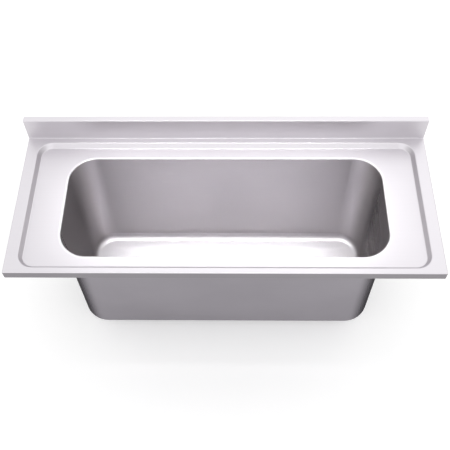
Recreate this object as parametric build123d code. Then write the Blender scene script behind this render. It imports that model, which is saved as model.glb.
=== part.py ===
from build123d import *
from math import atan2, degrees, hypot, radians, sin
import os

# A pot-wash sink top: a folded worktop with a raised rim and an upstand, and one deep bowl.
# Millimetres. X runs along the worktop, Y towards the wall, Z up.
# The origin is on the waste's axis, in the plane where the frame's rails meet the underside.

# Worktop
worktop_length = 1500.0
worktop_depth = 600.0
apron_height = 38.0
apron_return = 16.0
sheet = 1.5
fold_radius = 3.0
fold_land = 3.0
upstand_height = 100.0
upstand_depth = 23.0
upstand_down_turn = 25.0
upstand_end_flange = 12.0
rim_side = 43.0
rim_front = 21.0
rim_back = 24.0
recess_corner = 54.0
recess_drop = 19.0
bevel_run = 12.0
bevel_bend = 5.0

# Bowl
opening_to_end = 173.0
opening_to_front = 75.0
opening_to_upstand = 85.0
opening_corner = 100.0
bowl_depth = 578.0
wall_draft = 0.4
floor_bend = 29.0
lip_width = 8.0
lip_radius = 4.0
floor_fall = 6.0
fall_margin = 25.0

# Channels and brackets under the worktop
channel_gauge = 1.5
channel_bend = 1.5
channel_off_frame = 1.5
channel_gap = 18.0
channel_to_lip = 2.0
long_channel_crown = 14.0
long_channel_flange = 8.0
end_channel_crown = 40.0
end_channel_flange = 15.0
bracket_gauge = 3.0
bracket_bend = 2.0
bracket_crown = 44.0
bracket_flange = 20.0
bracket_length = 60.0
bracket_set_in = 10.5
frame_bolt_hole = 9.0

# Earth tag and sound pads
tag_length = 30.0
tag_width = 16.0
tag_overlap = 11.0
tag_hole = 5.5
tag_y = 150.0
pad_thickness = 3.0
pad_side_margin = 20.0
pad_below_rim = 170.0
pad_above_floor = 128.0

# Waste fitting
waste_recess_depth = 4.0
waste_recess_flare = 3.0
waste_metal = 1.0
flange_width = 15.0
flange_clearance = 2.0
seal_thickness = 1.0
seal_inset = 2.0
cup_top_radius = 41.0
cup_taper = 3.0
cup_corner = 4.0
cup_clearance = 3.0
hub_radius = 9.0
hub_sink = 3.0
spoke_width = 6.0
spoke_count = 4
window_radius = 27.0
gasket_thickness = 3.0
body_flange_thickness = 4.0
body_wall = 3.0
body_cup_clearance = 2.0
body_head_room = 1.0
body_funnel_height = 8.0
outlet_bore_radius = 20.0
outlet_thread_radius = 23.9
outlet_length = 14.0
boss_radius = 7.0
boss_height = 16.0
boss_rib = 2.5
boss_rib_drop = 2.0
boss_rib_count = 3
screw_radius = 3.0
screw_clearance = 0.2
screw_head_radius = 5.0
screw_head_height = 2.5
screw_slot = 1.2
insert_radius = 4.5
insert_length = 9.0
insert_clearance = 0.05

# Basket and stopper
basket_metal = 0.8
basket_seat_gap = 0.05
basket_overlap = 3.0
basket_side_clearance = 2.0
basket_taper = 4.0
basket_depth = 18.0
basket_corner = 3.0
basket_rim_bend = 2.0
wall_slot_count = 24
wall_slot_width = 3.0
wall_slot_length = 9.0
floor_hole_radius = 2.0
floor_hole_rings = {14.0: 8, 21.0: 12, 28.0: 16}
post_radius = 4.0
post_running_clearance = 0.05
post_foot_radius = 8.0
post_foot_thickness = 1.5
post_foot_gap = 0.4
bush_radius = 6.0
bush_flange_radius = 8.0
bush_flange_thickness = 0.8
knob_radius = 11.0
knob_height = 13.0
knob_socket = 6.0
knob_above_flange = 8.0
rubber_side_clearance = 1.0
rubber_lip = 0.8
rubber_bevel = 3.0
rubber_thickness = 3.5
backing_inset = 9.0
backing_thickness = 1.0
clip_radius = 6.5
clip_groove_radius = 3.2
clip_thickness = 0.8
clip_opening = 5.0
stopper_travel = 7.0
stopper_stop_gap = 0.5

# Places in the worktop that follow from the sizes above
opening_length = worktop_length - 2 * opening_to_end
opening_width = worktop_depth - upstand_depth - opening_to_front - opening_to_upstand
front_y = -(opening_to_front + opening_width / 2)
wall_y = front_y + worktop_depth
upstand_y = wall_y - upstand_depth
fold_y = upstand_y - fold_radius - fold_land
rim_z = apron_height
upstand_top_z = rim_z + upstand_height
recess_z = rim_z - recess_drop
panel_under_z = recess_z - sheet
channel_depth = panel_under_z - channel_off_frame
bevel_slope = hypot(bevel_run, recess_drop)
bevel_angle = degrees(atan2(bevel_run, recess_drop))
lip_x = opening_length / 2 + lip_width
lip_y = opening_width / 2 + lip_width
bolt_x = (lip_x + worktop_length / 2 - rim_side - bevel_run) / 2
bolt_y = -(front_y + rim_front + bevel_run + bracket_set_in + bracket_length / 2)

# Levels of the bowl and of the waste, from the rim down to the outlet
floor_z = rim_z - bowl_depth
fall_z = floor_z - floor_fall
seat_z = fall_z - waste_recess_depth
flange_z = seat_z + seal_thickness + waste_metal
basket_rim_z = flange_z + basket_seat_gap
basket_under_z = basket_rim_z - basket_depth
bush_under_z = basket_under_z - bush_flange_thickness
clip_z = bush_under_z - stopper_stop_gap - stopper_travel
backing_z = clip_z - clip_thickness
rubber_z = backing_z - backing_thickness
rubber_under_z = rubber_z - rubber_thickness
cup_floor_z = rubber_under_z - basket_seat_gap
hub_z = cup_floor_z - hub_sink
body_z = seat_z - sheet - gasket_thickness
funnel_z = hub_z - waste_metal - body_head_room
spigot_z = funnel_z - body_funnel_height
outlet_z = spigot_z - outlet_length
boss_z = hub_z - waste_metal - boss_height

# Radii that fit round one another
flange_radius = cup_top_radius + flange_width
floor_inset = (recess_z - floor_z) * sin(radians(wall_draft)) + floor_bend
waste_recess_radius = flange_radius + flange_clearance
waste_hole_radius = cup_top_radius + waste_metal + cup_clearance
cup_bottom_radius = cup_top_radius - cup_taper
body_cup_radius = cup_top_radius + waste_metal + body_cup_clearance
basket_rim_radius = cup_top_radius + basket_overlap
basket_top_radius = cup_top_radius - basket_side_clearance
basket_bottom_radius = basket_top_radius - basket_taper
rubber_radius = cup_bottom_radius - cup_corner - rubber_side_clearance
backing_radius = rubber_radius - backing_inset
bush_bore_radius = post_radius + post_running_clearance


def pocket(half_x, half_y, corner, top_z, depth, taper):
    """A rounded rectangle that narrows downwards from top_z, centred on the Z axis."""
    outline = RectangleRounded(2 * half_x, 2 * half_y, corner)
    return Pos(0, 0, top_z) * Rot(180, 0, 0) * extrude(outline, amount=depth, taper=taper)


def folded(points, radii, gauge, plane, length):
    """A strip of sheet folded along a path, its gauge to the path's right."""
    skin = FilletPolyline(*points, radius=radii)
    profile = make_face(offset(skin, amount=gauge, side=Side.RIGHT).edges())
    return extrude(plane * profile, amount=length / 2, both=True)


def turned(points):
    """A solid of revolution about the Z axis from an outline of radii and heights."""
    outline = make_face(Polyline(*points, close=True))
    return revolve(Plane.XZ * outline, Axis.Z)


def ring(outer, inner, low_z, high_z):
    """A flat ring about the Z axis."""
    return turned([(inner, low_z), (outer, low_z), (outer, high_z), (inner, high_z)])


def disc(radius, low_z, high_z):
    """A solid disc about the Z axis."""
    return Pos(0, 0, (low_z + high_z) / 2) * Cylinder(radius, high_z - low_z)


def lowest_circle(solid):
    """The circular edge nearest the bottom of a turned solid."""
    return solid.edges().filter_by(GeomType.CIRCLE).sort_by(Axis.Z)[0]


def cut_out():
    """The outline of the worktop's cut-out, which the bowl's lip fills."""
    return RectangleRounded(2 * lip_x, 2 * lip_y, opening_corner + lip_width)


def worktop_block(inset):
    """The worktop as a full block whose skin lies one inset inside the outer skin."""
    low_y = front_y + inset
    size_x = worktop_length - 2 * inset
    size_y = fold_y - low_y
    block = Box(size_x, size_y, apron_height - 2 * inset)
    block = Pos(0, low_y + size_y / 2, apron_height / 2) * block
    rear_edges = block.faces().sort_by(Axis.Y)[-1].edges()
    folds = [edge for edge in block.edges() if edge not in rear_edges]
    block = fillet(folds, fold_radius - inset)

    grow = inset * (bevel_slope - bevel_run) / recess_drop
    half_x = worktop_length / 2 - rim_side + grow
    recess_low_y = front_y + rim_front - grow
    recess_high_y = upstand_y - rim_back + grow
    half_y = (recess_high_y - recess_low_y) / 2
    middle_y = (recess_high_y + recess_low_y) / 2
    top_z = rim_z - inset
    recess = pocket(half_x, half_y, recess_corner + grow, top_z, recess_drop, bevel_angle)
    block -= Pos(0, middle_y, 0) * recess
    levels = block.faces().filter_by(Axis.Z)
    panel = [face for face in levels if abs(face.center().Z - (top_z - recess_drop)) < sheet / 2]
    block = fillet(panel[0].edges(), bevel_bend + inset)
    rim = block.faces().sort_by(Axis.Z)[-1]
    return fillet(rim.inner_wires().edges(), bevel_bend - inset)


def make_worktop():
    """One folded sheet: rim, pressed recess, cut-out, aprons with returns, and the upstand."""
    worktop = worktop_block(0) - worktop_block(sheet)
    open_low_y = front_y + apron_return
    open_y = fold_y - open_low_y
    underside = Box(worktop_length - 2 * apron_return, open_y, 2 * sheet)
    worktop -= Pos(0, open_low_y + open_y / 2, 0) * underside
    worktop -= Pos(0, 0, panel_under_z - sheet) * extrude(cut_out(), amount=3 * sheet)

    worktop += folded(
        [(fold_y, rim_z), (upstand_y, rim_z), (upstand_y, upstand_top_z),
         (wall_y, upstand_top_z), (wall_y, upstand_top_z - upstand_down_turn)],
        fold_radius, sheet, Plane.YZ, worktop_length)
    apron_end_y = upstand_y + sheet - fold_y
    apron_end_z = rim_z - sheet
    for side in (-1, 1):
        x = side * (worktop_length - sheet) / 2
        apron_end = Box(sheet, apron_end_y, apron_end_z)
        worktop += Pos(x, fold_y + apron_end_y / 2, apron_end_z / 2) * apron_end
    return worktop


def make_upstand_end(side):
    """The cap that closes one end of the upstand, with a turned-in rear flange."""
    low_y = upstand_y + sheet
    high_y = wall_y - sheet
    top_z = upstand_top_z - sheet
    plate = Box(sheet, high_y - low_y, top_z)
    top_corners = plate.edges().filter_by(Axis.X).sort_by(Axis.Z)[-2:]
    plate = fillet(top_corners, fold_radius - sheet)
    flange_z_size = top_z - fold_radius
    flange = Box(upstand_end_flange, sheet, flange_z_size)
    flange_x = side * (sheet - upstand_end_flange) / 2
    cap = Pos(0, (low_y + high_y) / 2, top_z / 2) * plate
    cap += Pos(flange_x, high_y - sheet / 2, flange_z_size / 2) * flange
    return Pos(side * (worktop_length - sheet) / 2, 0, 0) * cap


def tub(grow):
    """The bowl's drawn form: drafted walls and a rounded floor, grown by a thickness."""
    half_x = opening_length / 2 + grow
    half_y = opening_width / 2 + grow
    depth = recess_z - floor_z + grow
    form = pocket(half_x, half_y, opening_corner + grow, recess_z, depth, wall_draft)
    return fillet(form.faces().sort_by(Axis.Z)[0].edges(), floor_bend + grow)


def floor_pressing(grow):
    """The four shallow facets that fall to the waste, and the round seat at their middle."""
    half_x = opening_length / 2 - floor_inset - fall_margin
    half_y = opening_width / 2 - floor_inset - fall_margin
    top = Pos(0, 0, floor_z - grow) * Rectangle(2 * half_x, 2 * half_y)
    facets = loft([top.face(), Vertex(0, 0, fall_z - grow)])
    low_radius = waste_recess_radius + grow
    high_radius = low_radius + waste_recess_flare
    low_z = seat_z - grow
    high_z = floor_z - grow
    return facets + turned([(0, low_z), (low_radius, low_z), (high_radius, high_z), (0, high_z)])


def make_bowl():
    """The deep bowl, with a rolled lip welded flush into the worktop's cut-out."""
    bowl = tub(sheet) + Pos(0, 0, panel_under_z) * extrude(cut_out(), amount=sheet)
    bowl += floor_pressing(sheet)
    bowl -= tub(0)
    bowl -= floor_pressing(0)
    bowl -= disc(waste_hole_radius, seat_z - 2 * sheet, seat_z + 2 * sheet)
    lip = bowl.faces().sort_by(Axis.Z)[-1]
    return fillet(lip.inner_wires().edges(), lip_radius)


def hat(crown, flange, depth, gauge, bend, length):
    """A hat channel along Y, hung under the worktop's panel by its two flanges."""
    side = crown / 2
    drop = depth - gauge
    points = [(-side - flange, 0), (-side, 0), (-side, -drop),
              (side, -drop), (side, 0), (side + flange, 0)]
    radii = [bend + gauge, bend, bend, bend + gauge]
    return Pos(0, 0, panel_under_z) * folded(points, radii, gauge, Plane.XZ, length)


def make_long_channel(side):
    """The channel along the front or the back of the bowl."""
    bracket_width = bracket_crown + 2 * bracket_flange
    length = 2 * bolt_x - bracket_width - 2 * channel_gap
    channel = hat(long_channel_crown, long_channel_flange, channel_depth, channel_gauge,
                  channel_bend, length)
    half_width = long_channel_crown / 2 + long_channel_flange
    return Pos(0, side * (lip_y + channel_to_lip + half_width), 0) * Rot(0, 0, 90) * channel


def make_end_channel(side):
    """The channel beside one end of the bowl, between two corner brackets."""
    length = 2 * bolt_y - bracket_length - 2 * channel_gap
    channel = hat(end_channel_crown, end_channel_flange, channel_depth, channel_gauge,
                  channel_bend, length)
    return Pos(side * bolt_x, 0, 0) * channel


def make_corner_bracket(side_x, side_y):
    """A heavy hat bracket with the hole for one frame bolt, flush with the aprons."""
    bracket = hat(bracket_crown, bracket_flange, panel_under_z, bracket_gauge,
                  bracket_bend, bracket_length)
    bracket -= disc(frame_bolt_hole / 2, -bracket_gauge, 2 * bracket_gauge)
    return Pos(side_x * bolt_x, side_y * bolt_y, 0) * bracket


def make_earth_tag():
    """A small drilled lug welded on the left apron's return."""
    tag = Box(tag_length, tag_width, sheet)
    free_corners = tag.edges().filter_by(Axis.Z).sort_by(Axis.X)[-2:]
    tag = fillet(free_corners, 0.4 * tag_width)
    tag -= Pos((tag_length - tag_width) / 2, 0, 0) * Cylinder(tag_hole / 2, sheet)
    x = -worktop_length / 2 + apron_return - tag_overlap + tag_length / 2
    return Pos(x, tag_y, 1.5 * sheet) * tag


def make_sound_pad(x, y, size_x, size_y):
    """A damping pad that follows the drafted wall where it is stuck."""
    height = bowl_depth - pad_below_rim - pad_above_floor
    layer = tub(sheet + pad_thickness) - tub(sheet)
    return layer & (Pos(x, y, rim_z - pad_below_rim - height / 2) * Box(size_x, size_y, height))


def make_end_pad(side):
    """The pad on one end wall of the bowl."""
    width = opening_width - 2 * opening_corner - 2 * pad_side_margin
    return make_sound_pad(side * opening_length / 2, 0, opening_corner, width)


def make_back_pad():
    """The pad on the back wall of the bowl."""
    width = opening_length - 2 * opening_corner - 2 * pad_side_margin
    return make_sound_pad(0, opening_width / 2, width, opening_corner)


def make_waste_flange():
    """The pressed steel flange and cup, with a spoked floor round a sunk hub."""
    under_z = flange_z - waste_metal
    floor_under_z = cup_floor_z - waste_metal
    shell = turned([
        (0, floor_under_z), (cup_bottom_radius + waste_metal, floor_under_z),
        (cup_top_radius + waste_metal, under_z), (flange_radius, under_z),
        (flange_radius, flange_z), (0, flange_z)])
    hollow = turned([
        (0, cup_floor_z), (cup_bottom_radius, cup_floor_z), (cup_top_radius, flange_z),
        (0, flange_z)])
    shell = fillet(lowest_circle(shell), cup_corner + waste_metal)
    shell -= fillet(lowest_circle(hollow), cup_corner)

    hub_outer = hub_radius + waste_metal
    windows = ring(window_radius, hub_outer, floor_under_z - waste_metal, flange_z)
    for index in range(spoke_count):
        spoke = Box(window_radius, spoke_width, 4 * waste_metal)
        place = Pos(hub_radius + window_radius / 2, 0, cup_floor_z)
        windows -= Rot(0, 0, index * 360 / spoke_count) * place * spoke
    shell -= windows
    shell -= disc(hub_radius, floor_under_z - waste_metal, flange_z)
    shell += ring(hub_outer, hub_radius, hub_z - waste_metal, cup_floor_z)
    return shell + ring(hub_outer, screw_radius + screw_clearance, hub_z - waste_metal, hub_z)


def make_flange_seal():
    """The soft ring between the flange and the bowl."""
    return ring(flange_radius - seal_inset, waste_hole_radius + seal_inset, seat_z,
                seat_z + seal_thickness)


def make_body_gasket():
    """The rubber gasket between the bowl's underside and the lower body."""
    return ring(flange_radius, waste_hole_radius + seal_inset, body_z, seat_z - sheet)


def make_waste_body():
    """The moulded lower body: clamping flange, cup, funnel, outlet and ribbed boss."""
    cup_outer = body_cup_radius + body_wall
    flange_under_z = body_z - body_flange_thickness
    shell = turned([
        (outlet_bore_radius, outlet_z), (outlet_thread_radius, outlet_z),
        (outlet_thread_radius, spigot_z), (cup_outer, funnel_z - body_wall / 2),
        (cup_outer, flange_under_z), (flange_radius, flange_under_z), (flange_radius, body_z),
        (body_cup_radius, body_z), (body_cup_radius, funnel_z), (outlet_bore_radius, spigot_z)])
    boss = disc(boss_radius, boss_z, boss_z + boss_height)
    rib_height = boss_height - 2 * boss_rib_drop
    rib_length = outlet_bore_radius + body_wall / 2
    for index in range(boss_rib_count):
        rib = Box(rib_length, boss_rib, rib_height)
        place = Pos(rib_length / 2, 0, boss_z + boss_height / 2)
        boss += Rot(0, 0, 90 + index * 360 / boss_rib_count) * place * rib
    boss -= disc(screw_radius + screw_clearance, boss_z, boss_z + boss_height)
    boss -= disc(insert_radius, boss_z, boss_z + insert_length)
    return shell + boss


def make_insert_nut():
    """The brass insert in the boss that the clamp screw turns into."""
    return ring(insert_radius, screw_radius + insert_clearance, boss_z, boss_z + insert_length)


def make_clamp_screw():
    """The slotted screw that draws the flange and the lower body together."""
    head_z = hub_z + screw_head_height
    head = disc(screw_head_radius, hub_z, head_z)
    head -= Pos(0, 0, head_z) * Box(2 * screw_head_radius, screw_slot, screw_head_height)
    return head + disc(screw_radius, boss_z, hub_z)


def make_basket_cup():
    """The perforated strainer cup, hung by its flat rim on the waste's flange."""
    top_z = basket_rim_z + basket_metal
    floor_top_z = basket_under_z + basket_metal
    shell = turned([
        (0, basket_under_z), (basket_bottom_radius, basket_under_z),
        (basket_top_radius, basket_rim_z), (basket_rim_radius, basket_rim_z),
        (basket_rim_radius, top_z), (0, top_z)])
    hollow = turned([
        (0, floor_top_z), (basket_bottom_radius - basket_metal, floor_top_z),
        (basket_top_radius - basket_metal, top_z), (0, top_z)])
    cup = fillet(lowest_circle(shell), basket_corner)
    cup -= fillet(lowest_circle(hollow), basket_corner - basket_metal)
    rim = cup.faces().sort_by(Axis.Z)[-1]
    cup = fillet(rim.inner_wires().edges(), basket_rim_bend)

    reach = basket_top_radius - basket_bottom_radius + 4 * basket_metal
    slot = Rot(0, 90, 0) * extrude(SlotOverall(wall_slot_length, wall_slot_width), amount=reach)
    slot = Pos(basket_bottom_radius - 3 * basket_metal, 0, (top_z + basket_under_z) / 2) * slot
    cuts = [Rot(0, 0, index * 360 / wall_slot_count) * slot for index in range(wall_slot_count)]
    for radius, count in floor_hole_rings.items():
        hole = Pos(radius, 0, basket_under_z) * Cylinder(floor_hole_radius, 4 * basket_metal)
        cuts += [Rot(0, 0, index * 360 / count) * hole for index in range(count)]
    cuts += [disc(bush_radius, basket_under_z - basket_metal, floor_top_z + basket_metal)]
    return cup - cuts


def make_grip_bush():
    """The nylon bush in the basket's floor that grips the sliding post."""
    floor_top_z = basket_under_z + basket_metal
    return turned([
        (bush_bore_radius, bush_under_z), (bush_flange_radius, bush_under_z),
        (bush_flange_radius, basket_under_z), (bush_radius, basket_under_z),
        (bush_radius, floor_top_z), (bush_flange_radius, floor_top_z),
        (bush_flange_radius, floor_top_z + bush_flange_thickness),
        (bush_bore_radius, floor_top_z + bush_flange_thickness)])


def make_stopper_post():
    """The sliding post, with a foot under the rubber and a groove for the clip."""
    foot_low_z = rubber_under_z + post_foot_gap
    foot_z = foot_low_z + post_foot_thickness
    top_z = basket_rim_z + knob_above_flange - knob_height + knob_socket
    return turned([
        (0, foot_low_z), (post_foot_radius, foot_low_z), (post_foot_radius, foot_z),
        (post_radius, foot_z), (post_radius, backing_z), (clip_groove_radius, backing_z),
        (clip_groove_radius, clip_z), (post_radius, clip_z), (post_radius, top_z), (0, top_z)])


def make_stopper_rubber():
    """The rubber disc that closes the spoked floor, with a thin sealing lip."""
    foot_z = rubber_under_z + post_foot_gap + post_foot_thickness
    return turned([
        (post_foot_radius, rubber_under_z), (rubber_radius, rubber_under_z),
        (rubber_radius, rubber_under_z + rubber_lip), (rubber_radius - rubber_bevel, rubber_z),
        (post_radius, rubber_z), (post_radius, foot_z), (post_foot_radius, foot_z)])


def make_backing_washer():
    """The steel washer that keeps the rubber flat."""
    return ring(backing_radius, post_radius, rubber_z, backing_z)


def make_post_clip():
    """The open clip that holds the rubber and its washer on the post."""
    clip = ring(clip_radius, clip_groove_radius, backing_z, clip_z)
    gap = Box(2 * clip_radius, clip_opening, 4 * clip_thickness)
    return clip - Pos(clip_radius, 0, clip_z) * gap


def make_knob():
    """The turned grip, waisted below a domed top."""
    low_z = basket_rim_z + knob_above_flange - knob_height
    high_z = low_z + knob_height
    knob = turned([
        (0, low_z), (0.65 * knob_radius, low_z), (0.5 * knob_radius, low_z + 0.4 * knob_height),
        (knob_radius, low_z + 0.65 * knob_height), (knob_radius, high_z), (0, high_z)])
    crown = knob.edges().filter_by(GeomType.CIRCLE).sort_by(Axis.Z)[-1]
    knob = fillet(crown, 0.25 * knob_height)
    return knob - disc(post_radius, low_z, low_z + knob_socket)


def make_parts():
    """Every piece of the sink by its name."""
    parts = {"worktop": make_worktop(), "bowl": make_bowl(), "earth_tag": make_earth_tag()}
    for name, side in (("left", -1), ("right", 1)):
        parts[f"upstand_end_{name}"] = make_upstand_end(side)
        parts[f"end_channel_{name}"] = make_end_channel(side)
        parts[f"corner_bracket_front_{name}"] = make_corner_bracket(side, -1)
        parts[f"corner_bracket_rear_{name}"] = make_corner_bracket(side, 1)
        parts[f"sound_pad_{name}"] = make_end_pad(side)
    parts["sound_pad_back"] = make_back_pad()
    parts["front_channel"] = make_long_channel(-1)
    parts["rear_channel"] = make_long_channel(1)
    parts["flange_seal"] = make_flange_seal()
    parts["waste_flange"] = make_waste_flange()
    parts["body_gasket"] = make_body_gasket()
    parts["waste_body"] = make_waste_body()
    parts["insert_nut"] = make_insert_nut()
    parts["clamp_screw"] = make_clamp_screw()
    parts["basket_cup"] = make_basket_cup()
    parts["grip_bush"] = make_grip_bush()
    parts["stopper_post"] = make_stopper_post()
    parts["stopper_rubber"] = make_stopper_rubber()
    parts["backing_washer"] = make_backing_washer()
    parts["post_clip"] = make_post_clip()
    parts["stopper_knob"] = make_knob()
    return parts


os.makedirs("parts", exist_ok=True)
for part_name, part_solid in make_parts().items():
    export_step(part_solid, f"parts/{part_name}.step")
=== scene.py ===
from math import atan2, pi, radians, sin

import bmesh
import bpy
from mathutils import Matrix, Vector


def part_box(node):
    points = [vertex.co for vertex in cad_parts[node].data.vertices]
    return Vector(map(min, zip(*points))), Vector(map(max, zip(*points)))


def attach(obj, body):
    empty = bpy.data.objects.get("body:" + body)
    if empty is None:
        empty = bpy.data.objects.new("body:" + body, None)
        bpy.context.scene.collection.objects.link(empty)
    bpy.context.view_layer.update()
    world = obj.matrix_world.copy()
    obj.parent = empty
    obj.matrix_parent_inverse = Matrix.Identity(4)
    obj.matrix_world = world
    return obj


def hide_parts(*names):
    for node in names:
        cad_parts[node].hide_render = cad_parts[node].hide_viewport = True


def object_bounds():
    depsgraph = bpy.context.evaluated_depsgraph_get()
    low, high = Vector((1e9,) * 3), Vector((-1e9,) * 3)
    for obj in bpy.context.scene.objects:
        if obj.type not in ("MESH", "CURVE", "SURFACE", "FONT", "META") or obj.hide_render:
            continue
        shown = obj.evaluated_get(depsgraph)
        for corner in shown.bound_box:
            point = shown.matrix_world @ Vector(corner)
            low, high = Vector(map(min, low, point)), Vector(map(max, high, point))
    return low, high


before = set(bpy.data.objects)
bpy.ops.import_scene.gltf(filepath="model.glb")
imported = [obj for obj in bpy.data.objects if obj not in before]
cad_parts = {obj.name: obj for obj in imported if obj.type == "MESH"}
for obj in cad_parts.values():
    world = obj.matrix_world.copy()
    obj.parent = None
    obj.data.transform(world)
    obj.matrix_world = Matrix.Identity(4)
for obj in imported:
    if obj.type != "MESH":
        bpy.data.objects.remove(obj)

cad_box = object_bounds()

# The camera stands where a fit of the worktop's edges in the photograph puts it.
PICTURE_SIZE = 450
SENSOR_WIDTH = 36.0
CAMERA_FOCAL_PIXELS = 721.82
CAMERA_AXIS_ROW = 192.2
CAMERA_PLACE = (0.04366, -1.41525, 2.19562)
CAMERA_PITCH = 55.903
CAMERA_YAW = 1.676
CAMERA_ROLL = -1.3255

# Light. Each lamp: name, place, aim, width, height, radiance, spread in degrees.
ROOM_LIGHT = 0.95
LAMPS = [
    ("lamp_over_bowl", (0.0, 0.05, 1.6), (0.0, 0.02, -0.54), 1.05, 0.36, 0.95, 17),
    ("lamp_rear", (0.0, 1.7, 2.3), (0.0, 0.2, 0.0), 4.0, 1.8, 0.2, 180),
    ("lamp_rear_right", (1.7, 1.6, 2.4), (0.7, 0.0, 0.0), 1.2, 1.2, 0.7, 180),
    ("lamp_front_high", (0.0, -1.6, 3.2), (0.0, 0.0, -0.2), 2.4, 1.2, 0.5, 180),
    ("lamp_front_low", (0.0, -3.2, 1.2), (0.0, 0.2, 0.0), 3.0, 1.4, 0.7, 180),
]
FLOOR_WIDTH = 80.0
FLOOR_COLOUR = (0.92, 0.92, 0.92, 1.0)
FLOOR_GLOW = 0.24
FLOOR_GAP = 0.0005

# Steel colours, and the tints of the reflection at grazing angles. The apron tint, the tint for faces
# that look sideways and the outside tint are painted shade: darker steel than the ground top.
WORKTOP_TINT = (0.80, 0.775, 0.81)
APRON_SHADE_TINT = (0.35, 0.335, 0.355)
WORKTOP_EDGE_TINT = (0.35, 0.35, 0.35, 1.0)
BOWL_TINT = (0.89, 0.865, 0.895)
SIDE_SHADE_TINT = (0.40, 0.38, 0.385)
OUTSIDE_SHADE_TINT = (0.42, 0.40, 0.43)
BOWL_EDGE_TINT = (0.05, 0.05, 0.05, 1.0)
CHANNEL_TINT = (0.50, 0.51, 0.53)

# Roughness of the satin faces, and the grinding noise's cells per metre along and across its lines.
SATIN = 0.5
GRIND_ALONG = 2.5
GRIND_ACROSS = 900.0

# Sizes that the small pieces share with the sink, in metres, and the walls' draft in degrees.
BRACKET_GAUGE = 0.003
BRACKET_FLANGE = 0.020
CHANNEL_GAUGE = 0.0015
CHANNEL_FLANGE = 0.015
LONG_CHANNEL_FLANGE = 0.008
WALL_DRAFT = 0.4
LIP_HALF_LENGTH = 0.585
LIP_HALF_WIDTH = 0.2165
LIP_CORNER = 0.108
LIP_UNDER_Z = 0.0172
OUTLET_RADIUS = 0.0239
OUTLET_ROOT = 0.0225
THREAD_PITCH = 0.002309
THREAD_TURNS = 5
THREAD_STEPS_PER_TURN = 48


class Socket:
    """One output of a node, so that shader maths reads as an expression."""

    def __init__(self, finish, out):
        self.finish = finish
        self.out = out

    def maths(self, operation, *values):
        return self.finish.node("ShaderNodeMath", {"operation": operation}, dict(enumerate(values)))

    def __add__(self, other):
        return self.maths("ADD", self, other)

    def __radd__(self, other):
        return self.maths("ADD", other, self)

    def __sub__(self, other):
        return self.maths("SUBTRACT", self, other)

    def __rsub__(self, other):
        return self.maths("SUBTRACT", other, self)

    def __mul__(self, other):
        return self.maths("MULTIPLY", self, other)

    def __rmul__(self, other):
        return self.maths("MULTIPLY", other, self)

    def __abs__(self):
        return self.maths("ABSOLUTE", self)

    def __pow__(self, other):
        return self.maths("POWER", self, other)

    def above(self, floor):
        return self.maths("MAXIMUM", self, floor)

    def step(self, low, high):
        """A smooth 0 to 1 as this value goes from low to high, either way round."""
        settings = {"interpolation_type": "SMOOTHSTEP"}
        return self.finish.node("ShaderNodeMapRange", settings,
                                {"Value": self, "From Min": low, "From Max": high})


class Finish:
    """A material under construction."""

    def __init__(self, name):
        self.material = bpy.data.materials.new(name)
        self.material.use_nodes = True
        self.tree = self.material.node_tree
        self.tree.nodes.clear()
        self.coordinates = self.node("ShaderNodeTexCoord", {}, {}, "Object")
        self.normal = self.node("ShaderNodeNewGeometry", {}, {}, "Normal")

    def node(self, kind, settings, sockets, output=0):
        node = self.tree.nodes.new(kind)
        for key, value in settings.items():
            setattr(node, key, value)
        for key, value in sockets.items():
            if isinstance(value, Socket):
                self.tree.links.new(value.out, node.inputs[key])
            else:
                node.inputs[key].default_value = value
        return Socket(self, node.outputs[output])

    def axis(self, vector, letter):
        return self.node("ShaderNodeSeparateXYZ", {}, {"Vector": vector}, letter)

    def place(self, letter):
        """The object coordinate along one axis."""
        return self.axis(self.coordinates, letter)

    def facing(self, letter):
        """How far the surface faces along one axis, from -1 to 1."""
        return self.axis(self.normal, letter)

    def noise(self, per_metre, detail=2.0):
        """Noise in object space with its own pitch along each axis."""
        scaled = self.node("ShaderNodeVectorMath", {"operation": "MULTIPLY"},
                           {0: self.coordinates, 1: per_metre})
        return self.node("ShaderNodeTexNoise", {}, {"Vector": scaled, "Scale": 1.0, "Detail": detail})

    def blend(self, share, first, second):
        """A number between two numbers or sockets."""
        return self.node("ShaderNodeMix", {"data_type": "FLOAT"},
                         {"Factor": share, "A": first, "B": second})

    def colour(self, share, first, second):
        """A colour between two colours or sockets."""
        return self.node("ShaderNodeMix", {"data_type": "RGBA"},
                         {0: share, 6: first, 7: second}, 2)

    def bump(self, height, distance, strength=1.0):
        return self.node("ShaderNodeBump", {},
                         {"Height": height, "Distance": distance, "Strength": strength})

    def surface(self, **sockets):
        """Ends the material with a principled surface; sockets are named with underscores."""
        named = {key.replace("_", " "): value for key, value in sockets.items()}
        shader = self.node("ShaderNodeBsdfPrincipled", {}, named)
        end = self.tree.nodes.new("ShaderNodeOutputMaterial")
        self.tree.links.new(shader.out, end.inputs["Surface"])
        return self.material


def shade(colour, amount):
    """A colour made lighter or darker, with alpha."""
    return tuple(channel * amount for channel in colour[:3]) + (1.0,)


def grinding_lines(finish):
    """Noise drawn out into grinding lines: along X, but along Y on faces that look along X."""
    along_x = finish.noise((GRIND_ALONG, GRIND_ACROSS, GRIND_ACROSS))
    along_y = finish.noise((GRIND_ACROSS, GRIND_ALONG, GRIND_ACROSS))
    sideways = abs(finish.facing("X")).step(0.6, 0.8)
    return finish.blend(sideways, along_x, along_y)


def lip_band(finish):
    """1 on the polished band where the bowl's lip weld was ground flush."""
    past_x = (abs(finish.place("X")) - (LIP_HALF_LENGTH - LIP_CORNER)).above(0.0)
    past_y = (abs(finish.place("Y")) - (LIP_HALF_WIDTH - LIP_CORNER)).above(0.0)
    off_joint = (past_x * past_x + past_y * past_y) ** 0.5 - LIP_CORNER
    return abs(off_joint).step(0.003, 0.0015) * finish.place("Z").step(0.017, 0.0185)


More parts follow.
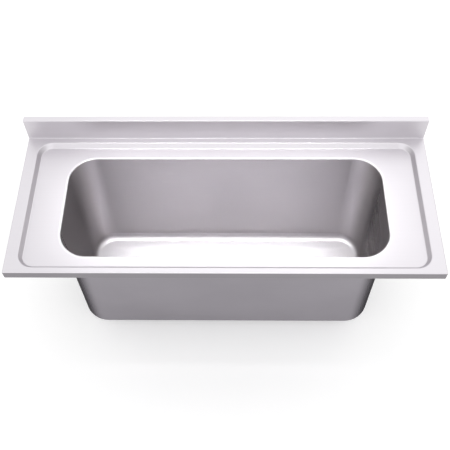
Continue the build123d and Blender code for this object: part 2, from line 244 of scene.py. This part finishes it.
def satin_steel(finish, tint, side_shade_tint, side_shade_share, shaded_dull_tint, dull_and_shaded, edge_tint):
    """Satin stainless sheet with fine grinding lines.

    The share after side_shade_tint blends in that darker tint, which is painted shade; the share after
    shaded_dull_tint picks the faces left as rolled or drawn, which are rougher and darkened with
    painted shade; edge_tint is the colour of the reflection at grazing angles."""
    lines = grinding_lines(finish)
    clouds = finish.noise((4.0, 4.0, 4.0), 3.0)
    tone = (lines * 0.6 + clouds * 0.4).step(0.3, 0.7)
    ground = finish.colour(tone, shade(tint, 0.98), shade(tint, 1.02))
    # Painted shade: the darker tint for faces that look sideways.
    across = finish.colour(tone, shade(side_shade_tint, 0.98), shade(side_shade_tint, 1.02))
    # Painted shade: the darker tint for the faces left as rolled or drawn.
    shaded_mill = finish.colour(clouds.step(0.3, 0.7), shade(shaded_dull_tint, 0.975), shade(shaded_dull_tint, 1.025))
    # Painted shade: faces left as rolled darken further, nearly to black, as they turn to look along
    # X, standing in for the dark part of the room they would reflect.
    end_shade = abs(finish.facing("X")).step(0.15, 0.85) * 0.8
    shaded_mill = finish.colour(end_shade, shaded_mill, shade(shaded_dull_tint, 0.12))
    colour = finish.colour(dull_and_shaded, finish.colour(side_shade_share, ground, across), shaded_mill)
    band = lip_band(finish)
    colour = finish.colour(band * 0.5, colour, shade(tint, 1.12))
    rough = SATIN + (lines - 0.5) * 0.1 + (clouds - 0.5) * 0.02 + dull_and_shaded * 0.05 - band * 0.1
    return finish.surface(Base_Color=colour, Metallic=1.0, Roughness=rough,
                          Normal=finish.bump(lines, 0.00002, 0.4), Specular_Tint=edge_tint)


def worktop_steel():
    """Ground on top; the aprons and the underside are left as rolled and darkened with painted shade,
    and the faces that look along X, such as the recess's end bevels, and the upstand's front are
    partly darkened with painted shade.
    """
    finish = Finish("worktop_stainless")
    height = finish.place("Z")
    up = finish.facing("Z")
    below_rim = height.step(0.0375, 0.034)
    upright = abs(up).step(0.45, 0.1)
    # Painted shade: the aprons and the underside take the darker apron tint.
    dull_and_shaded = (below_rim * upright).above(up.step(-0.3, -0.6))
    # Painted shade, in part: faces that look along X and the upstand's front take some of the darker
    # tint.
    bevel_shade = abs(finish.facing("X")).step(0.35, 0.8) * 0.38
    upstand_shade = finish.facing("Y").step(-0.9, -0.98) * 0.18
    return satin_steel(finish, WORKTOP_TINT, SIDE_SHADE_TINT, bevel_shade.above(upstand_shade), APRON_SHADE_TINT, dull_and_shaded,
                       WORKTOP_EDGE_TINT)


def bowl_steel():
    """Ground inside; the outside is left as drawn and darkened with painted shade, and inside, the
    walls that face along X and the upright walls lower down are darkened with painted shade.

    outward is positive where the surface faces away from the bowl's middle. The factors make the
    long and the short walls count alike."""
    finish = Finish("bowl_stainless")
    across = finish.facing("X")
    outward = (across * finish.place("X") * 1.7
               + finish.facing("Y") * finish.place("Y") * 4.8
               - finish.facing("Z") * 0.5)
    upright = abs(finish.facing("Z")).step(0.3, 0.05)
    # Painted shade: upright walls darker deeper in the bowl, and walls facing along X darker still.
    deep_shade = finish.place("Z").step(-0.05, -0.5) * upright
    side_shade_share = abs(across).step(0.15, 0.85).above(deep_shade * 0.55)
    return satin_steel(finish, BOWL_TINT, SIDE_SHADE_TINT, side_shade_share, OUTSIDE_SHADE_TINT, outward.step(-0.05, 0.05),
                       BOWL_EDGE_TINT)


def galvanised_steel():
    """Rolled steel with a faint zinc spangle and darker streaks along its length."""
    finish = Finish("channel_steel")
    cell = finish.node("ShaderNodeTexVoronoi", {},
                       {"Vector": finish.coordinates, "Scale": 160.0}, "Color")
    spangle = finish.axis(cell, "X")
    streaks = grinding_lines(finish)
    tone = finish.colour((spangle * 0.6 + streaks * 0.4).step(0.2, 0.8), shade(CHANNEL_TINT, 0.82),
                         shade(CHANNEL_TINT, 1.12))
    return finish.surface(Base_Color=tone, Metallic=1.0, Roughness=0.38 + spangle * 0.14,
                          Normal=finish.bump(streaks, 0.00003, 0.4))


def turned_metal(name, colour, roughness, ring_pitch):
    """Metal with fine rings about the waste's axis."""
    finish = Finish(name)
    x = finish.place("X")
    y = finish.place("Y")
    radius = (x * x + y * y) ** 0.5
    place = finish.node("ShaderNodeCombineXYZ", {}, {"X": radius * (1.0 / ring_pitch),
                                                     "Y": finish.place("Z") * 300.0})
    rings = finish.node("ShaderNodeTexNoise", {}, {"Vector": place, "Scale": 1.0, "Detail": 2.0})
    clouds = finish.noise((90.0, 90.0, 90.0), 3.0)
    tone = finish.colour((rings * 0.5 + clouds * 0.5).step(0.3, 0.7), shade(colour, 0.9),
                         shade(colour, 1.06))
    return finish.surface(Base_Color=tone, Metallic=1.0,
                          Roughness=roughness + (rings - 0.5) * 0.12 + (clouds - 0.5) * 0.08,
                          Normal=finish.bump(rings, 0.00002, 0.4))


def moulded(name, colour, roughness, grain_pitch, grain_depth, coat=0.0):
    """Moulded plastic or rubber: a fine grain, a cloudy tone and a little dust."""
    finish = Finish(name)
    grain = finish.noise((1.0 / grain_pitch,) * 3, 3.0)
    clouds = finish.noise((35.0, 35.0, 35.0), 4.0)
    dust = clouds.step(0.55, 0.8) * finish.facing("Z").step(0.2, 0.9)
    tone = finish.colour((grain * 0.4 + clouds * 0.6).step(0.3, 0.7), shade(colour, 0.85),
                         shade(colour, 1.15))
    tone = finish.colour(dust * 0.25, tone, (0.35, 0.34, 0.33, 1.0))
    return finish.surface(Base_Color=tone, Roughness=roughness + (grain - 0.5) * 0.16 + dust * 0.1,
                          Normal=finish.bump(grain, grain_depth, 0.7), Coat_Weight=coat,
                          Coat_Roughness=0.2)


def damping_sheet():
    """Bitumen damping sheet with a mineral speckle."""
    finish = Finish("damping_pad")
    speck = finish.noise((900.0, 900.0, 900.0), 1.0)
    clouds = finish.noise((18.0, 18.0, 18.0), 4.0)
    tone = finish.colour(clouds.step(0.3, 0.7), (0.030, 0.030, 0.033, 1.0), (0.058, 0.057, 0.060, 1.0))
    tone = finish.colour(speck.step(0.62, 0.72), tone, (0.16, 0.155, 0.15, 1.0))
    return finish.surface(Base_Color=tone, Roughness=0.78 + (clouds - 0.5) * 0.15,
                          Normal=finish.bump(speck, 0.0003, 0.6))


def weld_metal():
    """Weld bead with ripples, straw and blue from the heat."""
    finish = Finish("weld_metal")
    ripple = finish.noise((650.0, 650.0, 60.0), 1.0)
    heat = finish.noise((22.0, 22.0, 22.0), 2.0)
    tone = finish.colour(heat.step(0.35, 0.65), (0.62, 0.55, 0.42, 1.0), (0.42, 0.44, 0.52, 1.0))
    return finish.surface(Base_Color=tone, Metallic=1.0, Roughness=0.34 + (ripple - 0.5) * 0.2,
                          Normal=finish.bump(ripple, 0.0004, 0.7))


def adhesive_paste():
    """Pale grey panel adhesive, skinned over."""
    finish = Finish("panel_adhesive")
    skin = finish.noise((220.0, 220.0, 220.0), 3.0)
    tone = finish.colour(skin.step(0.3, 0.7), (0.44, 0.44, 0.42, 1.0), (0.58, 0.58, 0.55, 1.0))
    return finish.surface(Base_Color=tone, Roughness=0.55 + (skin - 0.5) * 0.3,
                          Normal=finish.bump(skin, 0.0003, 0.7))


def clothe(names, material):
    """Gives CAD nodes a material."""
    for name in names:
        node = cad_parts[name]
        node.data.materials.clear()
        node.data.materials.append(material)


channel_steel = galvanised_steel()
polished_steel = turned_metal("polished_steel", (0.66, 0.655, 0.665), 0.2, 0.0006)
black_plastic = moulded("waste_plastic", (0.035, 0.036, 0.038), 0.46, 0.0007, 0.0001)
knob_plastic = moulded("knob_plastic", (0.02, 0.02, 0.021), 0.3, 0.0012, 0.00003, 0.3)
pad_sheet = damping_sheet()

clothe(["worktop", "upstand_end_left", "upstand_end_right", "earth_tag"], worktop_steel())
clothe(["bowl"], bowl_steel())
clothe([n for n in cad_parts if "channel" in n or "bracket" in n], channel_steel)
clothe(["sound_pad_left", "sound_pad_right", "sound_pad_back"], pad_sheet)
clothe(["waste_flange", "clamp_screw", "basket_cup", "stopper_post", "backing_washer", "post_clip"],
       polished_steel)
clothe(["flange_seal", "body_gasket", "stopper_rubber"],
       moulded("soft_rubber", (0.022, 0.022, 0.023), 0.68, 0.0005, 0.00008))
clothe(["waste_body"], black_plastic)
clothe(["insert_nut"], turned_metal("turned_brass", (0.62, 0.44, 0.18), 0.3, 0.0004))
clothe(["grip_bush"], moulded("nylon", (0.74, 0.72, 0.64), 0.38, 0.001, 0.00004))
clothe(["stopper_knob"], knob_plastic)


def add_piece(name, shape, material, body="sink", crease=35.0):
    """A finished bmesh becomes a piece that rides on a body."""
    bmesh.ops.recalc_face_normals(shape, faces=shape.faces)
    mesh = bpy.data.meshes.new(name)
    shape.to_mesh(mesh)
    shape.free()
    mesh.shade_smooth()
    mesh.set_sharp_from_angle(angle=radians(crease))
    mesh.materials.append(material)
    piece = bpy.data.objects.new(name, mesh)
    bpy.context.scene.collection.objects.link(piece)
    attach(piece, body)
    return piece


def moved(shape, made, place, turn=None):
    """Turns and moves what an operator just made."""
    verts = made["verts"]
    if turn is not None:
        bmesh.ops.transform(shape, verts=verts, matrix=turn)
    bmesh.ops.translate(shape, verts=verts, vec=place)
    return verts


def add_cone(shape, low_radius, high_radius, low_z, high_z, x, y, segments, turn=None):
    """A frustum about a vertical axis at (x, y), from low_z to high_z."""
    made = bmesh.ops.create_cone(shape, cap_ends=True, segments=segments, radius1=low_radius,
                                 radius2=high_radius, depth=high_z - low_z)
    return moved(shape, made, (x, y, (low_z + high_z) / 2), turn)


# A flanged nut, as frustums: low radius, high radius, depth of the low and of the high end, sides.
STUD_NUT = [
    (0.0061, 0.0068, 0.0011, 0.0, 24),
    (0.0052, 0.0052, 0.0052, 0.0010, 6),
    (0.0044, 0.0054, 0.0058, 0.0050, 24),
]
# The stud's threaded end below the nut.
STUD_ROOT = 0.0026
STUD_CREST = 0.0030
STUD_PITCH = 0.0009
STUD_FLANK = 0.00045
STUD_START = 0.0062
STUD_TURNS = 4
# Where nuts and weld marks sit: share of the flange's width, and the nuts' distance from the end.
FLANGE_SHARE = 0.45
NUT_FROM_END = 0.014


def add_stud_nut(shape, x, y, under_z, angle):
    """A flanged hexagon nut on a weld stud, under a flange at under_z."""
    spin = Matrix.Rotation(angle, 4, "Z")
    for low_radius, high_radius, low_end, high_end, sides in STUD_NUT:
        add_cone(shape, low_radius, high_radius, under_z - low_end, under_z - high_end, x, y, sides,
                 spin if sides == 6 else None)
    for turn in range(STUD_TURNS):
        low_z = under_z - STUD_START - turn * STUD_PITCH
        add_cone(shape, STUD_ROOT, STUD_CREST, low_z - STUD_FLANK, low_z, x, y, 16)
        add_cone(shape, STUD_CREST, STUD_ROOT, low_z, low_z + STUD_FLANK, x, y, 16)


def bracket_nuts():
    """Stud nuts on the corner brackets' and the end channels' flanges."""
    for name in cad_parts:
        bracket = name.startswith("corner_bracket")
        if not bracket and not name.startswith("end_channel"):
            continue
        low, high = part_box(name)
        gauge = BRACKET_GAUGE if bracket else CHANNEL_GAUGE
        flange = BRACKET_FLANGE if bracket else CHANNEL_FLANGE
        shape = bmesh.new()
        middle = (low[1] + high[1]) / 2
        reach = (high[1] - low[1]) / 2 - NUT_FROM_END
        rows = (-1, 1) if bracket else (-1, 0, 1)
        for row in rows:
            for x in (low[0] + flange * FLANGE_SHARE, high[0] - flange * FLANGE_SHARE):
                nut_angle = row * 0.4 + x * 37.0
                add_stud_nut(shape, x, middle + row * reach, high[2] - gauge, nut_angle)
        add_piece(name + "_nuts", shape, zinc)


# A spot weld mark: low radius, high radius, low and high end from the flange's underside, sides.
SPOT_MARK = [(0.0022, 0.0028, -0.00025, 0.0001, 20), (0.0009, 0.0012, -0.0004, -0.0002, 12)]
SPOT_COUNT = 15
SPOT_FROM_END = 0.03


def spot_welds():
    """Shallow electrode marks along the flanges of the two long channels."""
    for name in ("front_channel", "rear_channel"):
        low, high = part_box(name)
        shape = bmesh.new()
        face_z = high[2] - CHANNEL_GAUGE
        inset = LONG_CHANNEL_FLANGE * FLANGE_SHARE
        run = high[0] - low[0] - 2 * SPOT_FROM_END
        for index in range(SPOT_COUNT):
            x = low[0] + SPOT_FROM_END + run * index / (SPOT_COUNT - 1)
            for y in (low[1] + inset, high[1] - inset):
                for low_radius, high_radius, low_end, high_end, sides in SPOT_MARK:
                    add_cone(shape, low_radius, high_radius, face_z + low_end, face_z + high_end, x, y,
                             sides)
        add_piece(name + "_spot_welds", shape, weld)


# An adhesive bead, the part of its flange that it leaves free, its axis below the flange's top, and
# the height of its waves.
BEAD_RADIUS = 0.0016
BEAD_SHORTER = 0.006
BEAD_DROP = 0.0008
BEAD_WAVE = 0.0003


def adhesive_beads():
    """Squeezed-out adhesive along the end channels' and brackets' flange edges."""
    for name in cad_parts:
        if not name.startswith(("end_channel", "corner_bracket")):
            continue
        low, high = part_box(name)
        shape = bmesh.new()
        for x in (low[0], high[0]):
            made = bmesh.ops.create_cone(shape, cap_ends=True, segments=10, radius1=BEAD_RADIUS,
                                         radius2=BEAD_RADIUS, depth=high[1] - low[1] - BEAD_SHORTER)
            verts = moved(shape, made, (x, (low[1] + high[1]) / 2, high[2] - BEAD_DROP),
                          Matrix.Rotation(radians(90), 4, "X"))
            sides = {edge for vert in verts for edge in vert.link_edges
                     if abs((edge.verts[0].co - edge.verts[1].co).y) > 0.01}
            bmesh.ops.subdivide_edges(shape, edges=list(sides), cuts=30)
        for vert in shape.verts:
            wave = sin(vert.co.y * 190.0 + vert.co.x * 40.0) + sin(vert.co.y * 77.0)
            lower_half = vert.co.z < high[2] - BEAD_DROP
            vert.co.z = min(vert.co.z - BEAD_WAVE * wave * lower_half, high[2])
        add_piece(name + "_adhesive", shape, adhesive, crease=60.0)


# Each pad: its node, cells across, rows of cells, turn about Z in degrees.
PADS = [
    ("sound_pad_back", 26, 8, 0.0),
    ("sound_pad_left", 5, 8, 90.0),
    ("sound_pad_right", 5, 8, -90.0),
]
# The cells: margin round the sheet, groove, slope, rise, the sheet's skin, how deep it is sunk in
# the pad, and the least area of a face that is a cell and not a groove.
PAD_MARGIN = 0.004
CELL_GROOVE = 0.0035
CELL_SLOPE = 0.0012
CELL_RISE = 0.0009
CELL_SKIN = 0.0004
CELL_SUNK = 0.00085
CELL_LEAST_AREA = 0.0005


def pad_cushions():
    """Raised cells pressed into the damping pads."""
    for name, across, rows, turn in PADS:
        low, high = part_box(name)
        sideways = turn != 0.0
        width = (high[1] - low[1]) if sideways else (high[0] - low[0])
        height = high[2] - low[2]
        shape = bmesh.new()
        bmesh.ops.create_grid(shape, x_segments=across, y_segments=rows, size=0.5)
        bmesh.ops.scale(shape, verts=shape.verts, vec=(width - PAD_MARGIN, height - PAD_MARGIN, 1.0))
        bmesh.ops.inset_individual(shape, faces=shape.faces[:], thickness=CELL_GROOVE, depth=0.0)
        cells = [face for face in shape.faces if face.calc_area() > CELL_LEAST_AREA]
        bmesh.ops.inset_individual(shape, faces=cells, thickness=CELL_SLOPE, depth=CELL_RISE)
        bmesh.ops.solidify(shape, geom=shape.faces[:], thickness=CELL_SKIN)
        tilt = Matrix.Rotation(radians(90.0 + WALL_DRAFT), 4, "X")
        face = Matrix.Rotation(radians(180.0), 4, "Z") @ tilt
        place = Vector(((low[0] + high[0]) / 2, high[1] - CELL_SUNK, (low[2] + high[2]) / 2))
        if sideways:
            face = Matrix.Rotation(radians(turn), 4, "Z") @ face
            edge = high[0] - CELL_SUNK if turn < 0 else low[0] + CELL_SUNK
            place = Vector((edge, (low[1] + high[1]) / 2, (low[2] + high[2]) / 2))
        bmesh.ops.transform(shape, verts=shape.verts, matrix=Matrix.Translation(place) @ face)
        add_piece(name + "_cells", shape, pad_sheet)


# The lip's weld bead, and the curve's handles as shares of the corner's radius and of that handle.
LIP_BEAD_RADIUS = 0.0011
ARC_HANDLE = 0.5523
STRAIGHT_HANDLE = 0.3


def lip_weld():
    """The weld bead under the panel, round the bowl's lip."""
    curve = bpy.data.curves.new("lip_weld", "CURVE")
    curve.dimensions = "3D"
    curve.bevel_depth = LIP_BEAD_RADIUS
    curve.bevel_resolution = 2
    curve.resolution_u = 12
    curve.use_fill_caps = True
    spline = curve.splines.new("BEZIER")
    half_x, half_y, corner = LIP_HALF_LENGTH, LIP_HALF_WIDTH, LIP_CORNER
    reach = corner * ARC_HANDLE
    corners = []
    for x, y, first_along_x in ((1, -1, True), (1, 1, False), (-1, 1, True), (-1, -1, False)):
        end_x = Vector((x * (half_x - corner), y * half_y, LIP_UNDER_Z))
        end_y = Vector((x * half_x, y * (half_y - corner), LIP_UNDER_Z))
        pull_x, pull_y = Vector((x * reach, 0, 0)), Vector((0, y * reach, 0))
        pair = [(end_x, pull_x), (end_y, pull_y)]
        if not first_along_x:
            pair.reverse()
        (first, first_pull), (last, last_pull) = pair
        corners += [(first, first - first_pull * STRAIGHT_HANDLE, first + first_pull),
                    (last, last + last_pull, last - last_pull * STRAIGHT_HANDLE)]
    spline.bezier_points.add(len(corners) - 1)
    for point, (at, before, after) in zip(spline.bezier_points, corners):
        point.co, point.handle_left, point.handle_right = at, before, after
    spline.use_cyclic_u = True
    curve.materials.append(weld)
    bead = bpy.data.objects.new("lip_weld", curve)
    bpy.context.scene.collection.objects.link(bead)
    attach(bead, "sink")


def turn_outline(shape, outline, segments, closed=True):
    """Spins an outline of radii and heights about the vertical axis."""
    verts = [shape.verts.new((radius, 0.0, height)) for radius, height in outline]
    ring = zip(verts, verts[1:] + verts[:1]) if closed else zip(verts, verts[1:])
    edges = [shape.edges.new(pair) for pair in ring]
    bmesh.ops.spin(shape, geom=verts + edges, cent=(0, 0, 0), axis=(0, 0, 1), angle=2 * pi,
                   steps=segments, use_merge=True)
    bmesh.ops.remove_doubles(shape, verts=shape.verts, dist=0.000001)


# The lower body's wall and its boss, as radii and heights above the outlet's end.
WASTE_SHELL = [
    (0.0200, 0.0), (0.0221, 0.0), (0.0225, 0.0004), (0.0225, 0.0136), (0.0242, 0.0141),
    (0.0455, 0.0200), (0.0467, 0.0207), (0.0470, 0.0218), (0.0470, 0.0475),
    (0.0475, 0.0481), (0.0554, 0.0481), (0.0560, 0.0487), (0.0560, 0.0521),
    (0.0440, 0.0521), (0.0440, 0.0220), (0.0200, 0.0140),
]
WASTE_BOSS = [
    (0.0045, 0.0070), (0.0066, 0.0070), (0.0070, 0.0074), (0.0070, 0.0230),
    (0.0032, 0.0230), (0.0032, 0.0160), (0.0045, 0.0160),
]
BOSS_RIB_SIZE = (0.0144, 0.0025, 0.0120)
BOSS_RIB_OUT = 0.0135
BOSS_RIB_HEIGHT = 0.0150
GRIP_RIBS = 32
GRIP_RIB_RADII = (0.0010, 0.0007)
GRIP_RIB_LENGTH = 0.0200
GRIP_RIB_OUT = 0.0470
GRIP_RIB_HEIGHT = 0.0345
THREAD_START = 0.0016
# The thread's section: two corners sunk in the outlet's wall, two at the crest.
THREAD_SECTION = [
    (OUTLET_ROOT - 0.0003, -0.00100), (OUTLET_ROOT - 0.0003, 0.00100),
    (OUTLET_RADIUS, 0.00022), (OUTLET_RADIUS, -0.00022),
]


def turned_out(degrees, radius):
    """A turn about the vertical axis after a move out to a radius."""
    return Matrix.Rotation(radians(degrees), 4, "Z") @ Matrix.Translation((radius, 0, 0))


def threaded_waste_body():
    """The lower body with grip ribs, and the outlet with its pipe thread."""
    end_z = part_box("waste_body")[0][2]
    shape = bmesh.new()
    for outline in (WASTE_SHELL, WASTE_BOSS):
        turn_outline(shape, [(radius, end_z + height) for radius, height in outline], 96)
    for index in range(3):
        made = bmesh.ops.create_cube(shape, size=1.0)
        bmesh.ops.scale(shape, verts=made["verts"], vec=BOSS_RIB_SIZE)
        moved(shape, made, (0, 0, end_z + BOSS_RIB_HEIGHT), turned_out(90 + index * 120, BOSS_RIB_OUT))
    for index in range(GRIP_RIBS):
        made = bmesh.ops.create_cone(shape, cap_ends=True, segments=8, radius1=GRIP_RIB_RADII[0],
                                     radius2=GRIP_RIB_RADII[1], depth=GRIP_RIB_LENGTH)
        moved(shape, made, (0, 0, end_z + GRIP_RIB_HEIGHT),
              turned_out(index * 360 / GRIP_RIBS, GRIP_RIB_OUT))
    body = add_piece("waste_body_moulding", shape, black_plastic)
    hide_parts("waste_body")

    thread = bmesh.new()
    section = [thread.verts.new((radius, 0.0, end_z + THREAD_START + height))
               for radius, height in THREAD_SECTION]
    thread.faces.new(section)
    steps = THREAD_STEPS_PER_TURN * THREAD_TURNS
    bmesh.ops.spin(thread, geom=thread.faces[:] + thread.edges[:] + thread.verts[:], cent=(0, 0, 0),
                   axis=(0, 0, 1), angle=2 * pi * THREAD_TURNS, steps=steps,
                   dvec=(0, 0, THREAD_PITCH * THREAD_TURNS / steps), use_merge=False)
    add_piece("outlet_thread", thread, black_plastic)


# The knob's outline, as shares of its radius and of its height.
KNOB_OUTLINE = [
    (0.0, 0.0), (0.62, 0.0), (0.66, 0.03), (0.58, 0.22), (0.5, 0.40), (0.56, 0.50),
    (0.82, 0.58), (0.97, 0.66), (1.0, 0.72), (1.0, 0.84), (0.96, 0.93), (0.86, 0.985),
    (0.74, 1.0), (0.55, 0.975), (0.3, 0.95), (0.0, 0.945),
]
KNOB_FLUTES = 18
FLUTE_DEPTH = 0.045


def fluted_knob():
    """The stopper's grip with finger flutes and a dished top."""
    low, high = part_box("stopper_knob")
    radius, height = high[0], high[2] - low[2]
    outline = [(out * radius, low[2] + up * height) for out, up in KNOB_OUTLINE]
    shape = bmesh.new()
    turn_outline(shape, outline, 96, closed=False)
    for vert in shape.verts:
        out = Vector(vert.co[:2]).length
        share = (vert.co.z - low[2]) / height
        if out > 0.9 * radius and 0.6 < share < 0.95:
            angle = atan2(vert.co.y, vert.co.x)
            flute = 1.0 - FLUTE_DEPTH * max(0.0, sin(KNOB_FLUTES * angle))
            vert.co.x *= flute
            vert.co.y *= flute
    knob = add_piece("fluted_knob", shape, knob_plastic, body="stopper")
    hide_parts("stopper_knob")


zinc = turned_metal("zinc_plate", (0.58, 0.58, 0.56), 0.32, 0.0005)
weld = weld_metal()
adhesive = adhesive_paste()
bracket_nuts()
spot_welds()
adhesive_beads()
pad_cushions()
lip_weld()
threaded_waste_body()
fluted_knob()


def make_camera():
    data = bpy.data.cameras.new("photo_camera")
    data.sensor_width = SENSOR_WIDTH
    data.lens = CAMERA_FOCAL_PIXELS * SENSOR_WIDTH / PICTURE_SIZE
    data.shift_y = (CAMERA_AXIS_ROW - PICTURE_SIZE / 2) / PICTURE_SIZE
    data.clip_end = 100.0
    camera = bpy.data.objects.new("photo_camera", data)
    turn = Matrix.Rotation(radians(CAMERA_YAW), 4, "Z")
    turn @= Matrix.Rotation(radians(90.0 - CAMERA_PITCH), 4, "X")
    turn @= Matrix.Rotation(radians(CAMERA_ROLL), 4, "Z")
    camera.matrix_world = Matrix.Translation(CAMERA_PLACE) @ turn
    bpy.context.scene.collection.objects.link(camera)
    bpy.context.scene.camera = camera


def make_floor():
    """A plain pale floor just under the waste's outlet."""
    shape = bmesh.new()
    bmesh.ops.create_grid(shape, x_segments=1, y_segments=1, size=FLOOR_WIDTH / 2)
    bmesh.ops.translate(shape, verts=shape.verts, vec=(0.0, 0.0, cad_box[0][2] - FLOOR_GAP))
    mesh = bpy.data.meshes.new("floor")
    shape.to_mesh(mesh)
    shape.free()
    floor = bpy.data.objects.new("floor", mesh)
    bpy.context.scene.collection.objects.link(floor)
    finish = Finish("floor")
    seen = [finish.node("ShaderNodeLightPath", {}, {}, "Is " + kind + " Ray")
            for kind in ("Camera", "Glossy", "Transmission")]
    glow = finish.colour(seen[0].above(seen[1]).above(seen[2]), shade(FLOOR_COLOUR, 0.0),
                         shade(FLOOR_COLOUR, FLOOR_GLOW))
    mesh.materials.append(finish.surface(Base_Color=FLOOR_COLOUR, Roughness=0.9, Emission_Color=glow,
                                         Emission_Strength=1.0, Specular_IOR_Level=0.0))


def make_lights():
    world = bpy.data.worlds.new("room")
    world.use_nodes = True
    background = world.node_tree.nodes["Background"]
    background.inputs["Color"].default_value = (1.0, 1.0, 1.0, 1.0)
    background.inputs["Strength"].default_value = ROOM_LIGHT
    bpy.context.scene.world = world
    for name, place, aim, width, height, radiance, spread in LAMPS:
        data = bpy.data.lights.new(name, "AREA")
        data.shape = "RECTANGLE"
        data.size = width
        data.size_y = height
        data.energy = radiance * pi * width * height
        data.spread = radians(spread)
        lamp = bpy.data.objects.new(name, data)
        lamp.location = place
        lamp.rotation_euler = (Vector(aim) - Vector(place)).to_track_quat("-Z", "Y").to_euler()
        bpy.context.scene.collection.objects.link(lamp)


make_camera()
make_floor()
make_lights()
bpy.context.scene.view_settings.view_transform = "Standard"
